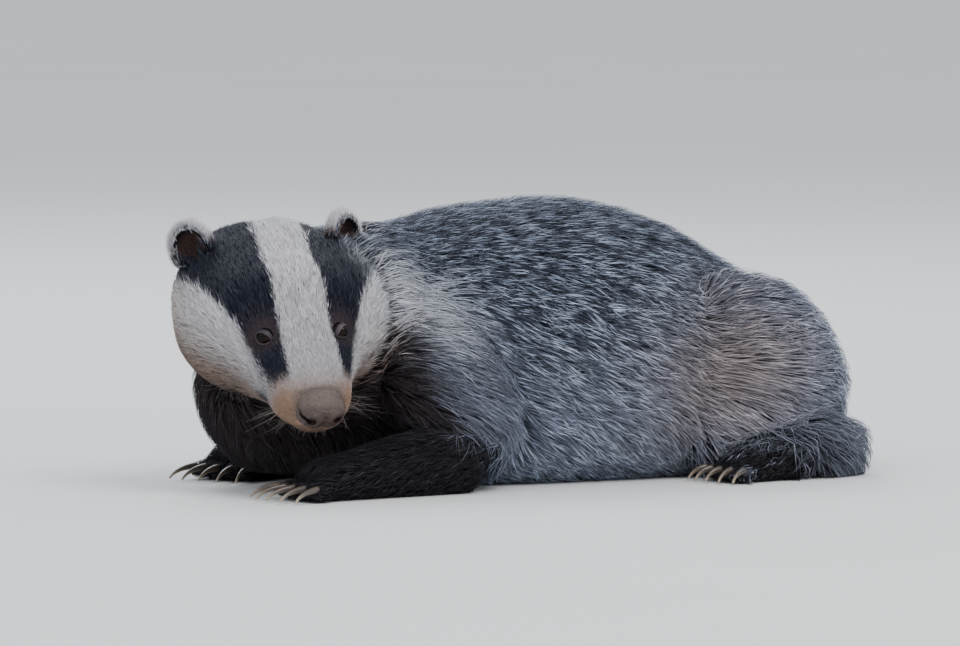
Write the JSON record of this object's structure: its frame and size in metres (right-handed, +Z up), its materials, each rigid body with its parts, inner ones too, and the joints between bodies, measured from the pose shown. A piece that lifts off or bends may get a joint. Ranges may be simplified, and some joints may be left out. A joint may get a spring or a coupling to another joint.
{
  "type": "european badger model",
  "caption": "Life-size still model of a European badger lying on its belly, head raised and turned to its left, with striped face and long grizzled coat.",
  "frame": {"origin": "middle of the model's box in plan, on the floor that it lies on", "axes": "+Z up; the nose points to -Y; the trunk runs back from the shoulders along +X and about half as much along +Y"},
  "size_m": [0.4978, 0.4992, 0.2052],
  "materials": {
    "grey_coat": "long coarse grizzled fur, dark bands and pale tips",
    "dark_coat": "short black-brown fur",
    "face_coat": "short dense fur, white with two black stripes",
    "nose_skin": "bare pebbled skin, slightly moist",
    "eye": "dark brown, wet gloss",
    "claw": "smooth horn"
  },
  "bodies": {
    "root": {"head": "face_coat", "nose": "nose_skin", "eye_left": "eye", "eye_right": "eye", "ear_left": "dark_coat", "ear_right": "dark_coat", "neck": "grey_coat", "torso": "grey_coat", "rump": "grey_coat", "tail": "grey_coat", "foreleg_left": "dark_coat", "foreleg_right": "dark_coat", "forepaw_left": "dark_coat", "forepaw_right": "dark_coat", "hindleg_left": "grey_coat", "hindleg_right": "grey_coat", "hindpaw_left": "dark_coat", "hindpaw_right": "dark_coat"}
  },
  "joints": []
}
